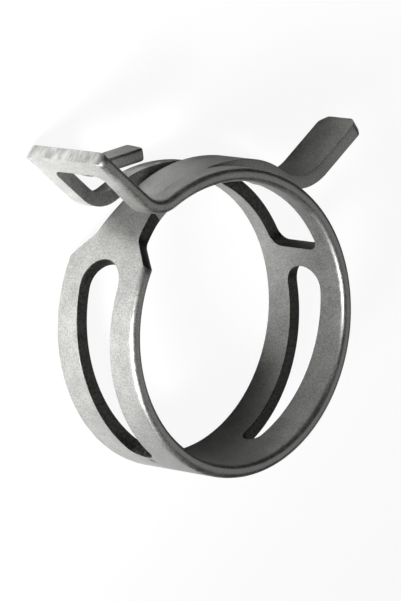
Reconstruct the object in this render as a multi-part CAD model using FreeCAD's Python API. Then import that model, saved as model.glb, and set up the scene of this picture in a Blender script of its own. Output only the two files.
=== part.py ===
"""Spring hose clamp: one strip of spring steel, stamped, rolled to a ring and bent at both ends.

The clamp lies on its rear rim. The origin is on the bore's axis at that rim, +Z runs along the
bore and the two tangs point towards +Y. Angles are seen from +Z and run from +X towards +Y.
"""
import FreeCAD
import Part
import math
import os

V = FreeCAD.Vector
V2 = FreeCAD.Base.Vector2d

# The strip, in millimetres
band_width = 12.0
thickness = 1.5
bore_radius = 15.15
rail_width = 2.0
edge_break = 0.3

# Ring: the angle at the bottom where both halves meet, and where each leaves the round of the bore
seam_angle = 270.0
arms_leave_angle = 59.0
tongue_leaves_angle = 132.6

# Fork side: two arms rise over the ring, dip into a valley and turn out as the wide tang
arms_rise = 2.95
arms_turn = 58.7
valley_radius = 3.8
valley_turn = 65.4
fork_tang_length = 8.2
fork_corner = 1.5
crossbar_end_angle = 25.9
window_join_angle = 45.0
window_half_width = 3.5
window_flare = 0.45
window_corner = 1.3
tip_bar_height = 2.6

# Finger that points from the tip bar over the window, towards the other tang
finger_root = 1.0
finger_width = 2.3
finger_bend_radius = 3.7
finger_turn = 47.2
finger_length = 6.65
finger_corner = 0.5

# Tongue side: shoulders, neck, crown over the ring, heel and the narrow tang
shoulder_angle = 153.4
neck_start_angle = 142.2
neck_end_angle = 129.0
sides_start_angle = 117.6
neck_half_width = 3.3
tongue_half_width = 2.78
shoulder_round = 1.7
neck_round = 1.2
crown_rise = 3.1
crown_turn = 49.8
crown_end_radius = 10.0
crown_end_turn = 24.8
heel_radius = 5.9
heel_turn = 69.3
tongue_tang_length = 7.4
tongue_chamfer = 0.9

# Relief slots: the angle of each rounded end's centre and its radius
fork_slot_wide_angle = 8.2
fork_slot_wide_end = 2.5
fork_slot_narrow_angle = 298.5
fork_slot_narrow_end = 1.25
tongue_slot_wide_angle = 162.2
tongue_slot_wide_end = 2.87
tongue_slot_narrow_angle = 232.4
tongue_slot_narrow_end = 1.6

ring_radius = bore_radius + thickness / 2
mid_width = band_width / 2

# Half the height of a punch, and the least angle between two faces that makes a corner
through = 3 * thickness
corner_turn = 60.0


def heading(angle):
    """Unit vector at an angle in the plane of the ring."""
    return V(math.cos(math.radians(angle)), math.sin(math.radians(angle)), 0)


def on_ring(angle):
    """Point of the ring's centreline."""
    return heading(angle) * ring_radius


def arc_move(radius, turn):
    """A bend of the strip's centreline: a positive turn goes to the left."""
    return {"length": 0.0, "radius": radius, "turn": turn}


def straight_move(length):
    return {"length": length, "radius": 0.0, "turn": 0.0}


def after(point, angle, move, share=1.0):
    """Place and heading on the centreline after a share of one move."""
    if not move["turn"]:
        return point + heading(angle) * move["length"] * share, angle
    side = math.copysign(90, move["turn"])
    centre = point + heading(angle + side) * move["radius"]
    new_angle = angle + move["turn"] * share
    return centre - heading(new_angle + side) * move["radius"], new_angle


def bent_strip(point, angle, moves, low, high):
    """Solid strip of the sheet's thickness along a centreline, from height low to height high."""
    left, right = [], []
    for move in moves:
        stations = [after(point, angle, move, share) for share in (0.0, 0.5, 1.0)]
        for edges, offset in ((left, thickness / 2), (right, -thickness / 2)):
            ends = [p + heading(a + 90) * offset for p, a in stations]
            curve = Part.Arc(*ends) if move["turn"] else Part.LineSegment(ends[0], ends[2])
            edges.append(curve.toShape())
        point, angle = stations[2]
    first = Part.LineSegment(right[0].Vertexes[0].Point, left[0].Vertexes[0].Point).toShape()
    last = Part.LineSegment(left[-1].Vertexes[-1].Point, right[-1].Vertexes[-1].Point).toShape()
    outline = Part.Wire(Part.sortEdges([first, last] + left + right)[0])
    outline.translate(V(0, 0, low))
    return Part.Face(outline).extrude(V(0, 0, high - low))


def rounded_outline(corners):
    """Closed wire in the XY plane through corners (x, y, radius), each rounded to its radius."""
    edges, joints = [], []
    count = len(corners)
    for k in range(count):
        before, here, behind = corners[k - 1], corners[k], corners[(k + 1) % count]
        corner = V(here[0], here[1], 0)
        back = (V(before[0], before[1], 0) - corner).normalize()
        on = (V(behind[0], behind[1], 0) - corner).normalize()
        half = back.getAngle(on) / 2
        reach = here[2] / math.tan(half)
        joints.append((corner + back * reach, corner + on * reach))
        if here[2]:
            bisector = (back + on).normalize()
            middle = corner + bisector * (here[2] / math.sin(half) - here[2])
            edges.append(Part.Arc(joints[k][0], middle, joints[k][1]).toShape())
    for k in range(count):
        edges.append(Part.LineSegment(joints[k - 1][1], joints[k][0]).toShape())
    return Part.Wire(Part.sortEdges(edges)[0])


def stamping(corners, point, angle):
    """Punch of a flat outline, driven through the sheet at a point of its centreline.

    The outline's x runs along the strip from that point, its y across the strip from mid-width.
    """
    outline = rounded_outline(corners)
    outline.translate(V(0, 0, -through))
    punch = Part.Face(outline).extrude(V(0, 0, 2 * through))
    along = heading(angle)
    across = V(0, 0, 1)
    out = along.cross(across)
    turn = FreeCAD.Matrix(
        along.x, across.x, out.x, point.x,
        along.y, across.y, out.y, point.y,
        along.z, across.z, out.z, point.z + mid_width,
        0, 0, 0, 1)
    punch.Placement = FreeCAD.Placement(turn)
    return punch


def mirrored(corners):
    """The same outline on the other half of the width."""
    return [(x, -y, radius) for x, y, radius in corners]


def slot_walls(wide_angle, wide_end, narrow_angle, narrow_end):
    """Walls of a tapered slot with round ends and broken rims, stamped flat and rolled."""
    sign = math.copysign(1, narrow_angle - wide_angle)
    run = math.radians(abs(narrow_angle - wide_angle)) * ring_radius
    tangent = math.acos((wide_end - narrow_end) / run)

    def place(angle, radius, round_angle):
        turn = sign * radius * math.cos(round_angle) / ring_radius
        return V2(math.radians(angle) + turn, mid_width + radius * math.sin(round_angle))

    def round_end(angle, radius, start, stop):
        curve = Part.Geom2d.BSplineCurve2d()
        steps = [start + (stop - start) * k / 8 for k in range(9)]
        curve.interpolate([place(angle, radius, step) for step in steps])
        return curve

    def rim(drum_radius, spread):
        """Outline of the slot, widened by a spread, on a drum round the bore's axis."""
        wide, narrow = wide_end + spread, narrow_end + spread
        curves = [
            round_end(wide_angle, wide, tangent, 2 * math.pi - tangent),
            Part.Geom2d.Line2dSegment(place(wide_angle, wide, -tangent),
                                      place(narrow_angle, narrow, -tangent)),
            round_end(narrow_angle, narrow, -tangent, tangent),
            Part.Geom2d.Line2dSegment(place(wide_angle, wide, tangent),
                                      place(narrow_angle, narrow, tangent))]
        drum = Part.Cylinder()
        drum.Radius = drum_radius
        return [curve.toShape(drum) for curve in curves]

    outside = bore_radius + thickness
    rims = [rim(bore_radius - edge_break, 2 * edge_break), rim(bore_radius + edge_break, 0),
            rim(outside - edge_break, 0), rim(outside + edge_break, 2 * edge_break)]
    return Part.makeShell([Part.makeRuledSurface(*pair)
                           for low, high in zip(rims, rims[1:]) for pair in zip(low, high)])


def punched(sheet, walls):
    """The sheet without the slug inside the walls."""
    pieces, _ = sheet.generalFuse([walls])
    return max(pieces.Solids, key=lambda piece: piece.Volume)


def fork_path():
    """Start, heading and moves of the fork side's centreline, from the bottom of the ring."""
    start = seam_angle - 360
    return on_ring(start), start + 90, [
        arc_move(ring_radius, arms_leave_angle - start),
        arc_move(ring_radius + arms_rise, arms_turn),
        arc_move(valley_radius, -valley_turn),
        straight_move(fork_tang_length)]


def tongue_path():
    """Start, heading and moves of the tongue side's centreline, from the bottom of the ring."""
    return on_ring(seam_angle), seam_angle - 90, [
        arc_move(ring_radius, tongue_leaves_angle - seam_angle),
        arc_move(ring_radius + crown_rise, -crown_turn),
        arc_move(crown_end_radius, -crown_end_turn),
        arc_move(heel_radius, heel_turn),
        straight_move(tongue_tang_length)]


def along_path(path, count):
    """Place and heading on a path's centreline after its first moves."""
    point, angle, moves = path
    for move in moves[:count]:
        point, angle = after(point, angle, move)
    return point, angle


def shaped_end(sheet, corners, point, angle):
    """The sheet with everything past the point cut to the outline's shape."""
    length = max(x for x, _, _ in corners)
    scrap = [(0, -band_width, 0), (length + through, -band_width, 0),
             (length + through, band_width, 0), (0, band_width, 0)]
    return sheet.cut(stamping(scrap, point, angle).cut(stamping(corners, point, angle)))


def finger():
    """Finger that lies in the tip bar at its root and bends up over the window."""
    half = finger_width / 2
    tang_start, tang_angle = along_path(fork_path(), 3)
    root = tang_start + heading(tang_angle) * (fork_tang_length - tip_bar_height + finger_root)
    path = (root, tang_angle + 180, [
        arc_move(finger_bend_radius, finger_turn),
        straight_move(finger_length)])
    blade = bent_strip(*path, mid_width - half, mid_width + half)
    end = [(-thickness, -half, 0), (finger_length, -half, finger_corner),
           (finger_length, half, finger_corner), (-thickness, half, 0)]
    return shaped_end(blade, end, *along_path(path, 1))


def fork_half():
    """Right half of the ring with its slot, the two arms and the wide tang with its window."""
    sheet = punched(bent_strip(*fork_path(), 0, band_width),
                    slot_walls(fork_slot_wide_angle, fork_slot_wide_end,
                               fork_slot_narrow_angle - 360, fork_slot_narrow_end))
    tang_start, tang_angle = along_path(fork_path(), 3)
    half = window_half_width
    near = [(0, -half, window_corner), (ring_radius / 2, -half, 0),
            (ring_radius / 2, half, 0), (0, half, window_corner)]
    window_length = fork_tang_length - tip_bar_height
    far = [(-thickness, -half, 0), (window_length, -half, window_corner),
           (window_length, half + window_flare, window_corner), (-thickness, half, 0)]
    gap_start = on_ring(window_join_angle)
    gap = Part.makeBox(gap_start.x - tang_start.x, 2 * ring_radius, 2 * half,
                       V(tang_start.x, gap_start.y - through / 2, mid_width - half))
    for cut in (stamping(near, on_ring(crossbar_end_angle), crossbar_end_angle + 90),
                stamping(far, tang_start, tang_angle), gap):
        sheet = sheet.cut(cut)
    outline = [(-thickness, -mid_width, 0), (fork_tang_length, -mid_width, fork_corner),
               (fork_tang_length, mid_width, fork_corner), (-thickness, mid_width, 0)]
    return shaped_end(sheet, outline, tang_start, tang_angle)


def tongue_half():
    """Left half of the ring with its slot, the shoulders, the neck and the narrow tang."""
    sheet = punched(bent_strip(*tongue_path(), 0, band_width),
                    slot_walls(tongue_slot_wide_angle, tongue_slot_wide_end,
                               tongue_slot_narrow_angle, tongue_slot_narrow_end))
    punch_angle = (shoulder_angle + neck_end_angle) / 2

    def reach(angle):
        return ring_radius * math.sin(math.radians(punch_angle - angle))

    half = tongue_half_width
    edge = mid_width + thickness
    shoulder = [
        (reach(shoulder_angle) - shoulder_round, mid_width, 0),
        (reach(shoulder_angle), mid_width, shoulder_round),
        (reach(neck_start_angle), neck_half_width, neck_round),
        (reach(neck_end_angle), half, 4 * neck_round),
        (reach(sides_start_angle), half, 0),
        (reach(sides_start_angle), edge, 0),
        (reach(shoulder_angle) - shoulder_round, edge, 0)]
    for corners in (shoulder, mirrored(shoulder)):
        sheet = sheet.cut(stamping(corners, on_ring(punch_angle), punch_angle - 90))
    side_start = on_ring((neck_end_angle + sides_start_angle) / 2)
    for low in (mid_width - edge, mid_width + half):
        sheet = sheet.cut(Part.makeBox(4 * ring_radius, 2 * ring_radius, edge - half,
                                       V(side_start.x, side_start.y - through, low)))
    outline = [(-thickness, -half, 0), (tongue_tang_length - tongue_chamfer, -half, 0),
               (tongue_tang_length, tongue_chamfer - half, 0),
               (tongue_tang_length, half - tongue_chamfer, 0),
               (tongue_tang_length - tongue_chamfer, half, 0), (-thickness, half, 0)]
    return shaped_end(sheet, outline, *along_path(tongue_path(), 4))


def corner_edges(solid):
    """Edges where two faces meet at a corner, without those where one face runs into the next."""
    found = []
    for edge in solid.Edges:
        middle = edge.valueAt((edge.FirstParameter + edge.LastParameter) / 2)
        first, second = [face.normalAt(*face.Surface.parameter(middle))
                         for face in solid.ancestorsOfType(edge, Part.Face)]
        if math.degrees(first.getAngle(second)) > corner_turn:
            found.append(edge)
    return found


def off_plane(edges, point, normal):
    """The edges that don't lie in the plane through the point."""
    return [edge for edge in edges
            if max(abs((vertex.Point - point).dot(normal)) for vertex in edge.Vertexes) > 0.01]


def in_lanes(solid):
    """The same solid, its faces divided where the rail along each edge meets the web."""
    heights = (0, rail_width, band_width - rail_width, band_width)
    reach = 2 * ring_radius
    lanes = [solid.common(Part.makeBox(2 * reach, 2 * reach, high - low, V(-reach, -reach, low)))
             for low, high in zip(heights, heights[1:])]
    return lanes[0].fuse(lanes[1:])


def clamp_band():
    """The whole strip, its edges broken but for the sheared end of the wide tang."""
    strip = fork_half().fuse(tongue_half())
    tip, tip_angle = along_path(fork_path(), 4)
    strip = strip.makeChamfer(edge_break, off_plane(corner_edges(strip), tip, heading(tip_angle)))
    blade = finger()
    blade = blade.makeChamfer(edge_break, corner_edges(blade))
    return in_lanes(strip.fuse(blade))


band = clamp_band()
os.makedirs("parts", exist_ok=True)
band.exportStep("parts/clamp_band.step")
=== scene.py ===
"""Spring hose clamp of flat spring steel, lying on its rear rim on a plain studio floor."""
import bmesh
import bpy
import math
from mathutils import Matrix, Vector


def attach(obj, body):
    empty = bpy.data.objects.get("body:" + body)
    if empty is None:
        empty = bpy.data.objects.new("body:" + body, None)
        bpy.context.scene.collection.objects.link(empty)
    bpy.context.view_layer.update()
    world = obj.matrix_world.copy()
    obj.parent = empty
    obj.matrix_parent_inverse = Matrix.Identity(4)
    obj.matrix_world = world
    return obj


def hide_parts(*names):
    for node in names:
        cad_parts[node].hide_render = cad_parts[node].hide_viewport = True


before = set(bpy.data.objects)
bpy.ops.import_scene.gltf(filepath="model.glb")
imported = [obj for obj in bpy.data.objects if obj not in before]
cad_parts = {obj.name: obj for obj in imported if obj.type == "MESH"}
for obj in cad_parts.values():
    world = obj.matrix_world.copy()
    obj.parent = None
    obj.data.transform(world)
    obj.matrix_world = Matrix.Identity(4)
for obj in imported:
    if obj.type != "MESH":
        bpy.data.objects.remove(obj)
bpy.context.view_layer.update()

# The band: one strip of hardened spring steel. Its two tapered slots, its fork window and its
# tongue are punched in the flat and keep crisp edges, while the strip's own mill edges are well
# rounded. Then its ends are bent and it is rolled to a ring, with the tongue through the window.
MM = 0.001
THICKNESS = 1.5
HALF_WIDTH = 6.0
RING_RADIUS = 15.9

# Sizes are in millimetres and angles in degrees. In the flat, x runs along the strip from the
# bottom of the ring, with the fork's side positive, y runs across it to the front rim, and z
# outwards. Each bend is a radius on the strip's middle and a turn, and a straight tang follows.
SEAM_ANGLE = 270.0
FORK_BENDS = ((RING_RADIUS, 149.0), (18.85, 58.7), (3.8, -65.4))
FORK_TANG = 8.2
TONGUE_BENDS = ((RING_RADIUS, -137.4), (19.0, -49.8), (10.0, -24.8), (5.9, 69.3))
TONGUE_TANG = 7.4


def bent_length(bends):
    """How much flat strip a row of bends takes."""
    return sum(radius * abs(math.radians(turn)) for radius, turn in bends)


def along_ring(angle):
    """Where an angle of the ring lies on the flat strip."""
    if angle < 90:
        angle += 360
    return math.radians(angle - SEAM_ANGLE) * RING_RADIUS


CORNER_STEPS = 10


def face_through(bm, corners):
    """A flat face through a few corners (along, across, reach): the reach is how far a corner's
    rounding runs back along its edges."""
    verts = [bm.verts.new((x, y, 0)) for x, y, _ in corners]
    bm.faces.new(verts)
    for reach in sorted({corner[2] for corner in corners if corner[2]}):
        rounded = [v for v, corner in zip(verts, corners) if corner[2] == reach]
        bmesh.ops.bevel(bm, geom=rounded, offset=reach, offset_type="OFFSET", affect="VERTICES",
                        segments=CORNER_STEPS, profile=0.5, material=-1)


def slot(bm, wide_angle, wide_end, narrow_angle, narrow_end):
    """A tapered slot, its round ends given by the angle of their centres and their radii."""
    wide, narrow = along_ring(wide_angle), along_ring(narrow_angle)
    side = math.copysign(1, narrow - wide)
    taper = math.asin((wide_end - narrow_end) / abs(narrow - wide))
    wide_half = wide_end * (1 + math.sin(taper)) / math.cos(taper)
    narrow_half = narrow_end * (1 - math.sin(taper)) / math.cos(taper)
    face_through(bm, [
        (wide - side * wide_end, -wide_half, wide_half),
        (narrow + side * narrow_end, -narrow_half, narrow_half),
        (narrow + side * narrow_end, narrow_half, narrow_half),
        (wide - side * wide_end, wide_half, wide_half)])


fork_end = bent_length(FORK_BENDS) + FORK_TANG
tongue_end = -bent_length(TONGUE_BENDS) - TONGUE_TANG
shoulder = along_ring(153.4)
neck_start = along_ring(142.2)
neck_end = along_ring(129.0)
TONGUE_HALF = 2.76
TONGUE_CHAMFER = 0.9
TONGUE_CORNER = 0.25
NECK_HALF = 3.3
NECK_START_CORNER = 0.5
NECK_END_CORNER = 1.0
SHOULDER_CORNER = 0.7
FORK_CORNER = 1.15

blank = bmesh.new()
one_side = [
    (tongue_end, TONGUE_HALF - TONGUE_CHAMFER, TONGUE_CORNER),
    (tongue_end + TONGUE_CHAMFER, TONGUE_HALF, TONGUE_CORNER),
    (neck_end, TONGUE_HALF, NECK_END_CORNER),
    (neck_start, NECK_HALF, NECK_START_CORNER),
    (shoulder, HALF_WIDTH, SHOULDER_CORNER),
    (fork_end, HALF_WIDTH, FORK_CORNER)]
face_through(blank, one_side + [(x, -y, reach) for x, y, reach in reversed(one_side)])

TONGUE_SLOT_FOOT = 232.4
slot(blank, wide_angle=162.2, wide_end=2.87, narrow_angle=TONGUE_SLOT_FOOT, narrow_end=1.6)
slot(blank, wide_angle=8.2, wide_end=2.5, narrow_angle=298.5, narrow_end=1.25)

# The window lies between the fork's arms and its tip bar. Its front corner at the bar is flared.
window_start = along_ring(25.9)
WINDOW_HALF = 3.5
WINDOW_CORNER = 1.3
WINDOW_FLARE = 0.45
TIP_BAR = 2.6
face_through(blank, [
    (window_start, -WINDOW_HALF, WINDOW_CORNER),
    (fork_end - TIP_BAR, -WINDOW_HALF, WINDOW_CORNER),
    (fork_end - TIP_BAR, WINDOW_HALF + WINDOW_FLARE, WINDOW_CORNER),
    (fork_end - FORK_TANG, WINDOW_HALF, WINDOW_CORNER),
    (window_start, WINDOW_HALF, WINDOW_CORNER)])

# Only the outlines are kept, and one filling of them leaves the slots and the window open.
SAME_POINT = 0.002
bmesh.ops.delete(blank, geom=blank.faces[:], context="FACES_ONLY")
bmesh.ops.remove_doubles(blank, verts=blank.verts[:], dist=SAME_POINT)
bmesh.ops.triangle_fill(blank, edges=blank.edges[:], use_beauty=True)

# A narrow loop of faces inside each rounding keeps the shading of the broad faces flat.
ROUNDING_STEPS = 4
FLAT_LOOP = 0.08
MIRROR_MERGE = 0.0001


def thickened(bm, rounding):
    """Gives a flat sheet its thickness about the middle, with round edges."""
    bmesh.ops.recalc_face_normals(bm, faces=bm.faces[:])
    if bm.faces[:][0].normal.z < 0:
        bmesh.ops.reverse_faces(bm, faces=bm.faces[:])
    top = bm.faces[:]
    bmesh.ops.inset_region(bm, faces=top, thickness=0, depth=THICKNESS / 2 - rounding,
                           use_boundary=True, use_even_offset=True)
    steps = [math.pi / 2 * k / ROUNDING_STEPS for k in range(ROUNDING_STEPS + 1)]
    for low, high in zip(steps, steps[1:]):
        bmesh.ops.inset_region(bm, faces=top, use_boundary=True, use_even_offset=True,
                               thickness=rounding * (math.cos(low) - math.cos(high)),
                               depth=rounding * (math.sin(high) - math.sin(low)))
    bmesh.ops.inset_region(bm, faces=top, thickness=FLAT_LOOP, use_boundary=True,
                           use_even_offset=True)
    bmesh.ops.mirror(bm, geom=bm.verts[:] + bm.edges[:] + bm.faces[:], matrix=Matrix.Identity(4),
                     merge_dist=MIRROR_MERGE, axis="Z")
    bmesh.ops.recalc_face_normals(bm, faces=bm.faces[:])


ON_PLANE = 0.001


def cut(bm, place, normal):
    """Cuts the mesh's faces along a plane and keeps both halves."""
    bmesh.ops.bisect_plane(bm, geom=bm.verts[:] + bm.edges[:] + bm.faces[:], dist=ON_PLANE,
                           plane_co=place, plane_no=normal)


SLICE = 0.45


def sliced(bm, start, stop):
    """Cuts across the strip at even steps, so that it can bend."""
    count = round((stop - start) / SLICE)
    for k in range(1, count):
        cut(bm, (start + (stop - start) * k / count, 0, 0), (1, 0, 0))


def along(point, heading, bends, distance):
    """Place and heading at a distance along a row of bends, straight on after the last."""
    for radius, turn in bends:
        length = radius * abs(math.radians(turn))
        share = min(1.0, distance / length)
        side = math.copysign(math.pi / 2, turn)
        centre = point + radius * Vector((math.cos(heading + side), math.sin(heading + side)))
        heading += math.radians(turn) * share
        point = centre - radius * Vector((math.cos(heading + side), math.sin(heading + side)))
        distance -= length * share
        if share < 1.0:
            return point, heading
    return point + distance * Vector((math.cos(heading), math.sin(heading))), heading


RING_BOTTOM = Vector((0, -RING_RADIUS))


def rolled(flat):
    """Takes a point of the flat strip to its place on the clamp, in millimetres."""
    if flat.x >= 0:
        point, heading = along(RING_BOTTOM, 0.0, FORK_BENDS, flat.x)
        outward = heading - math.pi / 2
    else:
        point, heading = along(RING_BOTTOM, math.pi, TONGUE_BENDS, -flat.x)
        outward = heading + math.pi / 2
    return Vector((point.x + flat.z * math.cos(outward), point.y + flat.z * math.sin(outward),
                   HALF_WIDTH + flat.y))


MILL_ROUNDING = 0.6
MILL_CUTS = (0.04, 0.12, 0.25, 0.42, 0.65, 1.0)


def mill_edges_rounded(bm):
    """Rounds the strip's two long edges further than the punched ones, to a quarter circle that is
    cut closer the steeper it gets."""
    core = THICKNESS / 2 - MILL_ROUNDING
    for share in MILL_CUTS:
        for side in (-1, 1):
            cut(bm, (0, side * (HALF_WIDTH - share * MILL_ROUNDING), 0), (0, 1, 0))
    for vert in bm.verts:
        inward = MILL_ROUNDING - max(0.0, HALF_WIDTH - abs(vert.co.y))
        if inward > 0:
            height = core + math.sqrt(MILL_ROUNDING ** 2 - inward ** 2)
            vert.co.z = math.copysign(min(abs(vert.co.z), height), vert.co.z)


def nicked(bm, x, y, reach, depth):
    """Presses a small round nick into the outer face."""
    for step in (-1, -0.5, 0, 0.5, 1):
        cut(bm, (x + step * reach, 0, 0), (1, 0, 0))
        cut(bm, (0, y + step * reach, 0), (0, 1, 0))
    for vert in bm.verts:
        away = math.hypot(vert.co.x - x, vert.co.y - y) / reach
        if vert.co.z > 0 and away < 1:
            vert.co.z -= depth * (1 - away ** 2)


CUT_ROUNDING = 0.06
thickened(blank, CUT_ROUNDING)

# The fork's sheared end face and the punched walls, from the neck to the fork's crown, get finishes
# of their own: the end face a lighter one, carried round its rounded corners as a painted
# highlight, and the walls a dark one that is painted shade, standing for the shade in the slots,
# the window and along the neck. A wall is told by how little its faces look up or down in the flat.
SHEARED_END_AND_PAINTED_HIGHLIGHT, PAINTED_SHADE_WALLS = 1, 2
SHEARED_AND_HIGHLIGHT_UP = 0.5
PAINTED_SHADE_UP = 0.95
LONG_EDGE = 0.3
CROWN_TO_TANG = 14
crown = fork_end - FORK_TANG - CROWN_TO_TANG
cut(blank, (crown, 0, 0), (1, 0, 0))
blank.normal_update()
for face in blank.faces:
    centre = face.calc_center_median()
    if centre.x > fork_end - FORK_CORNER and abs(face.normal.z) < SHEARED_AND_HIGHLIGHT_UP:
        face.material_index = SHEARED_END_AND_PAINTED_HIGHLIGHT
    elif (abs(face.normal.z) < PAINTED_SHADE_UP and neck_end < centre.x < crown
          and abs(centre.y) < HALF_WIDTH - LONG_EDGE):
        face.material_index = PAINTED_SHADE_WALLS

NICK_PAST_SLOT = 2.5
mill_edges_rounded(blank)
nicked(blank, x=along_ring(TONGUE_SLOT_FOOT) + NICK_PAST_SLOT, y=0.15, reach=0.55, depth=0.3)
sliced(blank, tongue_end, fork_end)
for vert in blank.verts:
    vert.co = rolled(vert.co)

# The finger: a narrow tab of the same strip that lies in the tip bar at its root and bends up over
# the window, towards the other tang. Its edges are softer than the punched ones, its corners are
# rounded, and its face tips down a little towards the front.
FINGER_FRONT, FINGER_REAR = 1.15, -1.45
FINGER_LEAN = 0.07
FINGER_ROUNDING = 0.32
FINGER_CORNER = 0.5
FINGER_ROOT = 1.0
FINGER_BEND = ((3.7, 47.2),)
FINGER_LENGTH = 6.65
finger = bmesh.new()
finger_end = bent_length(FINGER_BEND) + FINGER_LENGTH
face_through(finger, [(0, FINGER_REAR, 0), (finger_end, FINGER_REAR, FINGER_CORNER),
                      (finger_end, FINGER_FRONT, FINGER_CORNER), (0, FINGER_FRONT, 0)])
thickened(finger, FINGER_ROUNDING)
sliced(finger, 0, finger_end)
root, root_heading = along(RING_BOTTOM, 0.0, FORK_BENDS, fork_end - TIP_BAR + FINGER_ROOT)
for vert in finger.verts:
    point, heading = along(root, root_heading + math.pi, FINGER_BEND, vert.co.x)
    up = heading + math.pi / 2
    lift = vert.co.z - FINGER_LEAN * vert.co.y
    vert.co = Vector((point.x + lift * math.cos(up), point.y + lift * math.sin(up),
                      HALF_WIDTH + vert.co.y))

# Points that are moved one by one leave old normals behind, so these are worked out anew first.
finger.normal_update()
bmesh.ops.recalc_face_normals(finger, faces=finger.faces[:])


def add_part(bm, part):
    """Adds one mesh's faces to another."""
    mesh = bpy.data.meshes.new("part")
    part.to_mesh(mesh)
    bm.from_mesh(mesh)
    bpy.data.meshes.remove(mesh)
    part.free()


add_part(blank, finger)
blank.normal_update()
bmesh.ops.recalc_face_normals(blank, faces=blank.faces[:])
bmesh.ops.scale(blank, vec=(MM, MM, MM), verts=blank.verts[:])
for face in blank.faces:
    face.smooth = True
band_mesh = bpy.data.meshes.new("clamp_band_steel")
blank.to_mesh(band_mesh)
blank.free()
band = bpy.data.objects.new("clamp_band_steel", band_mesh)
bpy.context.scene.collection.objects.link(band)

# The steel's finish: hardened spring steel, tumbled, with a baked zinc-flake coat. To the eye that
# is a satin grey with wide, soft highlights, a fine grain and a little mottling. The coat's grain,
# near 0.02 mm, is too fine to show in the render, so it is drawn ten times as coarse.


def srgb(code):
    """A hex colour as the linear value that a shader takes."""
    parts = [int(code[k:k + 2], 16) / 255 for k in (0, 2, 4)]
    return [c / 12.92 if c <= 0.04045 else ((c + 0.055) / 1.055) ** 2.4 for c in parts] + [1.0]


def add_node(tree, kind, settings=(), inputs=(), links=()):
    """Adds a shader node with its settings, its input values and its links by socket name."""
    node = tree.nodes.new(kind)
    for name, value in dict(settings).items():
        setattr(node, name, value)
    for name, value in dict(inputs).items():
        node.inputs[name].default_value = value
    for name, source in dict(links).items():
        tree.links.new(source, node.inputs[name])
    return node


MOTTLE_SIZE = 2.2
MOTTLE_SHARE = 0.3
DARKEST_AT, LIGHTEST_AT = 0.4, 0.6
LEAST_ROUGH, MOST_ROUGH = 0.42, 0.54
GRAIN_DEPTH = 0.03
GRAIN_RELIEF = 0.3


def steel(name, dark, light, grain_size):
    """A satin metal whose tone goes from dark to light with its grain, of a size in millimetres
    along each axis."""
    material = bpy.data.materials.new(name)
    material.use_nodes = True
    tree = material.node_tree
    tree.nodes.clear()
    place = add_node(tree, "ShaderNodeTexCoord")
    spread = add_node(tree, "ShaderNodeMapping", settings={"vector_type": "TEXTURE"},
                      inputs={"Scale": [size * MM for size in grain_size]},
                      links={"Vector": place.outputs["Object"]})
    grain = add_node(tree, "ShaderNodeTexNoise",
                     inputs={"Scale": 1.0, "Detail": 2.0, "Roughness": 0.6},
                     links={"Vector": spread.outputs["Vector"]})
    mottle = add_node(tree, "ShaderNodeTexNoise",
                      inputs={"Scale": 1 / (MOTTLE_SIZE * MM), "Detail": 3.0, "Roughness": 0.6},
                      links={"Vector": place.outputs["Object"]})
    both = add_node(tree, "ShaderNodeMix", inputs={"Factor": MOTTLE_SHARE},
                    links={"A": grain.outputs["Fac"], "B": mottle.outputs["Fac"]})
    speckle = add_node(tree, "ShaderNodeMapRange",
                       inputs={"From Min": DARKEST_AT, "From Max": LIGHTEST_AT},
                       links={"Value": both.outputs["Result"]})
    tone = add_node(tree, "ShaderNodeMix", settings={"data_type": "RGBA"},
                    inputs={"A": srgb(dark), "B": srgb(light)},
                    links={"Factor": speckle.outputs["Result"]})
    dull = add_node(tree, "ShaderNodeMapRange",
                    inputs={"To Min": LEAST_ROUGH, "To Max": MOST_ROUGH},
                    links={"Value": speckle.outputs["Result"]})
    bump = add_node(tree, "ShaderNodeBump",
                    inputs={"Strength": GRAIN_RELIEF, "Distance": GRAIN_DEPTH * MM},
                    links={"Height": grain.outputs["Fac"]})
    shader = add_node(tree, "ShaderNodeBsdfPrincipled", inputs={"Metallic": 1.0},
                      links={"Base Color": tone.outputs["Result"],
                             "Roughness": dull.outputs["Result"],
                             "Normal": bump.outputs["Normal"]})
    add_node(tree, "ShaderNodeOutputMaterial", links={"Surface": shader.outputs["BSDF"]})
    return material


# The fork's end face was sheared last, so it is barer and brighter, with streaks a millimetre wide
# through its thickness; on the end's rounded corners the same lighter tone is a painted highlight.
# The punched walls are painted shade: dark and dull, standing for the shade in the slots, the
# window and along the neck. Their grain is too fine to show as well, so it is drawn at 0.3 mm.
COAT_GRAIN = (0.2, 0.2, 0.2)
SHEAR_STREAKS = (2.2, 2.2, 1.0)
PAINTED_SHADE_GRAIN = (0.3, 0.3, 0.3)
band.data.materials.append(steel("satin_spring_steel", "868684", "a6a6a4", COAT_GRAIN))
# Partly a painted highlight: bare sheared steel on the end face, and a painted highlight on its
# corners.
band.data.materials.append(steel("sheared_steel_and_painted_highlight", "888886", "bcbcba", SHEAR_STREAKS))
# Painted shade: the dark, dull finish of the punched walls stands for the shade that falls in them.
band.data.materials.append(steel("punched_walls_painted_shade", "343432", "4e4e4c", PAINTED_SHADE_GRAIN))
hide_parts("clamp_band")
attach(band, "root")

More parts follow.
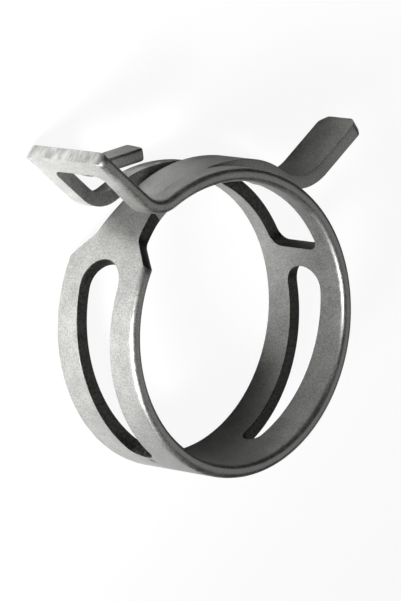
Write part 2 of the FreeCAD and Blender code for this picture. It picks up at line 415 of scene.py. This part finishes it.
# The floor: a plain sheet of matt white paper. The camera sees it near white whatever the lamps
# do, with a faint shadow. The steel mirrors it mostly as the lamps light it, with a small share of
# that white, because all of it turns the steel's dark faces pale.
FLOOR_HALF = 600
WHITE_SEEN = 0.93
WHITE_MIRRORED = 0.03
floor_mesh = bpy.data.meshes.new("floor")
sheet = bmesh.new()
bmesh.ops.create_grid(sheet, x_segments=1, y_segments=1, size=FLOOR_HALF * MM)
sheet.to_mesh(floor_mesh)
sheet.free()
floor = bpy.data.objects.new("floor", floor_mesh)
bpy.context.scene.collection.objects.link(floor)
paper = bpy.data.materials.new("white_floor")
paper.use_nodes = True
tree = paper.node_tree
tree.nodes.clear()
matt = add_node(tree, "ShaderNodeBsdfDiffuse", inputs={"Color": srgb("f2f2f2")})
glow = add_node(tree, "ShaderNodeEmission", inputs={"Color": srgb("ffffff"), "Strength": 1.0})
ray = add_node(tree, "ShaderNodeLightPath")
straight = add_node(tree, "ShaderNodeMath", settings={"operation": "MAXIMUM"},
                    links={0: ray.outputs["Is Camera Ray"],
                           1: ray.outputs["Is Transmission Ray"]})
seen = add_node(tree, "ShaderNodeMath", settings={"operation": "MULTIPLY"},
                inputs={1: WHITE_SEEN}, links={0: straight.outputs["Value"]})
mirrored = add_node(tree, "ShaderNodeMath", settings={"operation": "MULTIPLY"},
                    inputs={1: WHITE_MIRRORED}, links={0: ray.outputs["Is Glossy Ray"]})
white = add_node(tree, "ShaderNodeMath", settings={"operation": "ADD"},
                 links={0: seen.outputs["Value"], 1: mirrored.outputs["Value"]})
mix = add_node(tree, "ShaderNodeMixShader", links={0: white.outputs["Value"],
                                                   1: matt.outputs["BSDF"],
                                                   2: glow.outputs["Emission"]})
add_node(tree, "ShaderNodeOutputMaterial", links={"Surface": mix.outputs["Shader"]})
floor.data.materials.append(paper)

# The studio: a nearly dark room with two soft boxes. A narrow one at the left lights the floor
# beside the band, which the band's left side mirrors, and a broad one at the upper right lights the
# rims.
ROOM_LIGHT = 0.01
world = bpy.data.worlds.new("studio")
bpy.context.scene.world = world
world.use_nodes = True
world.node_tree.nodes["Background"].inputs["Color"].default_value = srgb("ffffff")
world.node_tree.nodes["Background"].inputs["Strength"].default_value = ROOM_LIGHT


def soft_box(name, place, aim, width, height, watts, spread=180):
    """A rectangular soft box that points from its place at its aim, in millimetres."""
    light = bpy.data.lights.new(name, "AREA")
    light.shape = "RECTANGLE"
    light.size = width * MM
    light.size_y = height * MM
    light.energy = watts
    light.spread = math.radians(spread)
    lamp = bpy.data.objects.new(name, light)
    lamp.location = Vector(place) * MM
    lamp.rotation_euler = (Vector(place) - Vector(aim)).to_track_quat("Z", "Y").to_euler()
    bpy.context.scene.collection.objects.link(lamp)


soft_box("key_left", place=(-172, -64, 82), aim=(-46, 4, 0), width=80, height=55, watts=0.092,
         spread=32)
soft_box("upper_right", place=(300, -60, 310), aim=(0, 0, 6), width=200, height=200, watts=0.14)

# The camera: a long lens at the photograph's angle, which looks down at the clamp from the left.
# The picture's right, its up and the way back to the camera were fitted to the ring's two rims.
RIGHT = Vector((0.7193, 0.0, 0.6947))
UP = Vector((0.0954, 0.9905, -0.0988))
BACK = Vector((-0.6881, 0.1373, 0.7125))
RING_CENTRE = Vector((0, 0, HALF_WIDTH))
DISTANCE = 542.3
SHIFT_RIGHT, SHIFT_UP = 0.6227, -2.0466
SENSOR, LENS = 36, 300
NEAREST, FARTHEST = 10, 10000
camera_data = bpy.data.cameras.new("camera")
camera_data.sensor_width = SENSOR
camera_data.lens = LENS
camera_data.clip_start, camera_data.clip_end = NEAREST * MM, FARTHEST * MM
camera = bpy.data.objects.new("camera", camera_data)
bpy.context.scene.collection.objects.link(camera)
eye = (RING_CENTRE - SHIFT_RIGHT * RIGHT - SHIFT_UP * UP + DISTANCE * BACK) * MM
turn = Matrix((RIGHT, UP, BACK)).transposed().to_4x4()
camera.matrix_world = Matrix.Translation(eye) @ turn
bpy.context.scene.camera = camera
bpy.context.scene.view_settings.view_transform = "Standard"
